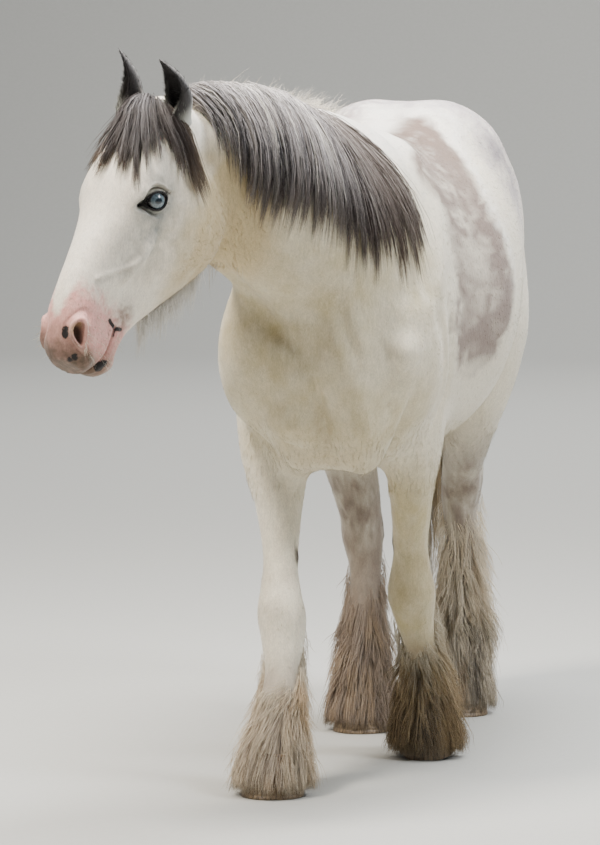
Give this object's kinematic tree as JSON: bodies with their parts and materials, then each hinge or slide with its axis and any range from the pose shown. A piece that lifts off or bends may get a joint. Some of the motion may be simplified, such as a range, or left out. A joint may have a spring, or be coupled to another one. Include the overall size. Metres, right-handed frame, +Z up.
{
  "type": "gypsy vanner horse",
  "caption": "Life-size standing model of a heavy feathered cob horse in a slow walk, with long mane, forelock, tail and leg feather, head turned to its right.",
  "frame": {"origin": "on the floor, below the middle of the horse's bounding box", "axes": "+Z up, the horse faces -Y, its left side is +X"},
  "size_m": [0.7579, 2.3264, 1.5443],
  "materials": {
    "coat": "short and long hair, creamy white with grey roan patches",
    "ear_skin": "dark haired skin",
    "eye": "wet, clear",
    "horn": "satin hoof horn"
  },
  "bodies": {
    "root": {"torso": "coat", "neck": "coat", "head": "coat", "tail": "coat", "foreleg_right_upper": "coat", "foreleg_right_lower": "coat", "foreleg_left_upper": "coat", "foreleg_left_lower": "coat", "hindleg_right_upper": "coat", "hindleg_right_lower": "coat", "hindleg_left_upper": "coat", "hindleg_left_lower": "coat", "ear_right": "ear_skin", "ear_left": "ear_skin", "eye_right": "eye", "eye_left": "eye", "hoof_foreleg_right": "horn", "hoof_foreleg_left": "horn", "hoof_hindleg_right": "horn", "hoof_hindleg_left": "horn"}
  },
  "joints": []
}
